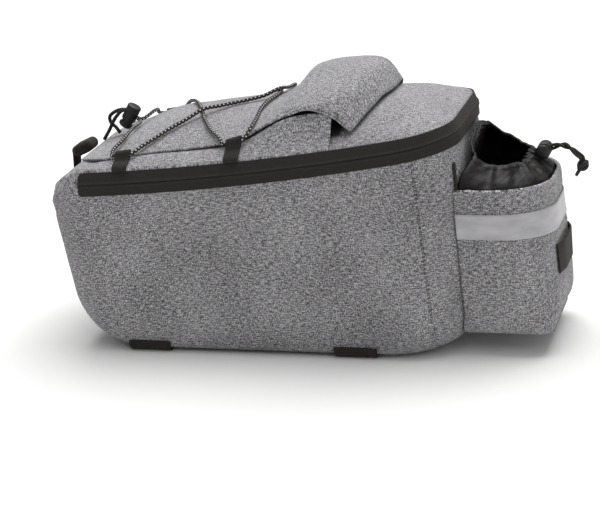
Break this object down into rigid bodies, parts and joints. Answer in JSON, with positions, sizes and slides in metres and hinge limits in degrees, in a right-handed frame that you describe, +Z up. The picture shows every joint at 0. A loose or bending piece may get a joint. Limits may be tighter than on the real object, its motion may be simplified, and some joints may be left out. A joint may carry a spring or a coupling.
{
  "type": "insulated bicycle rack bag",
  "caption": "Padded grey rack bag with a zipped domed lid, laced cover, gathered bottle pocket and reflective strip.",
  "frame": {"origin": "middle of the footprint of everything but the free cords, on the plane that the base straps rest on", "axes": "+X to the bottle pocket's end, +Z up, -Y the near side of the picture"},
  "size_m": [0.4325, 0.1832, 0.2259],
  "materials": {
    "heather_cloth": "matte woven melange",
    "black_nylon": "thin plain-weave nylon, slight sheen",
    "zip_tape": "woven zip tape",
    "black_metal": "black coated",
    "moulded_plastic": "moulded, satin",
    "reflective_tape": "satin grey retroreflective cloth",
    "cord": "braided",
    "base_cloth": "coated base cloth",
    "webbing": "woven webbing"
  },
  "bodies": {
    "bag": {"body_shell": "heather_cloth", "base_panel": "base_cloth", "base_strap_front": "webbing", "base_strap_rear": "webbing", "zip_tape_body": "zip_tape", "zip_tape_lid": "zip_tape", "zip_coil": "zip_tape", "zip_slider": "black_metal", "lid_shell": "heather_cloth", "lid_cover": "heather_cloth", "gusset_near": "heather_cloth", "gusset_far": "heather_cloth", "hook_strip": "webbing", "lace_loop_front_near": "webbing", "lace_loop_front_far": "webbing", "lace_loop_rear_near": "webbing", "lace_loop_rear_far": "webbing", "front_tab": "webbing", "bottle_pocket": "heather_cloth", "reflective_strip": "reflective_tape", "light_loop": "webbing", "pocket_collar": "black_nylon", "pocket_binding_near": "black_nylon", "pocket_binding_far": "black_nylon", "lid_lock_barrel": "moulded_plastic", "pocket_lock_barrel": "moulded_plastic", "lacing_cord": "cord", "lace_tail_far": "cord", "lace_tail_near": "cord", "drawstring_near": "cord", "drawstring_far": "cord", "drawstring_knot": "cord"},
    "lid_button": {"lid_lock_button": "moulded_plastic"},
    "pocket_button": {"pocket_lock_button": "moulded_plastic"}
  },
  "joints": [
    {"name": "lid_lock_press", "type": "slide", "parent": "bag", "child": "lid_button", "axis": [0.5, 0, 0.866], "range_m": [0, 0.003], "stiffness_N_per_m": 600, "springref_m": -0.003},
    {"name": "pocket_lock_press", "type": "slide", "parent": "bag", "child": "pocket_button", "axis": [0, 1, 0], "range_m": [0, 0.003], "stiffness_N_per_m": 600, "springref_m": -0.003}
  ]
}
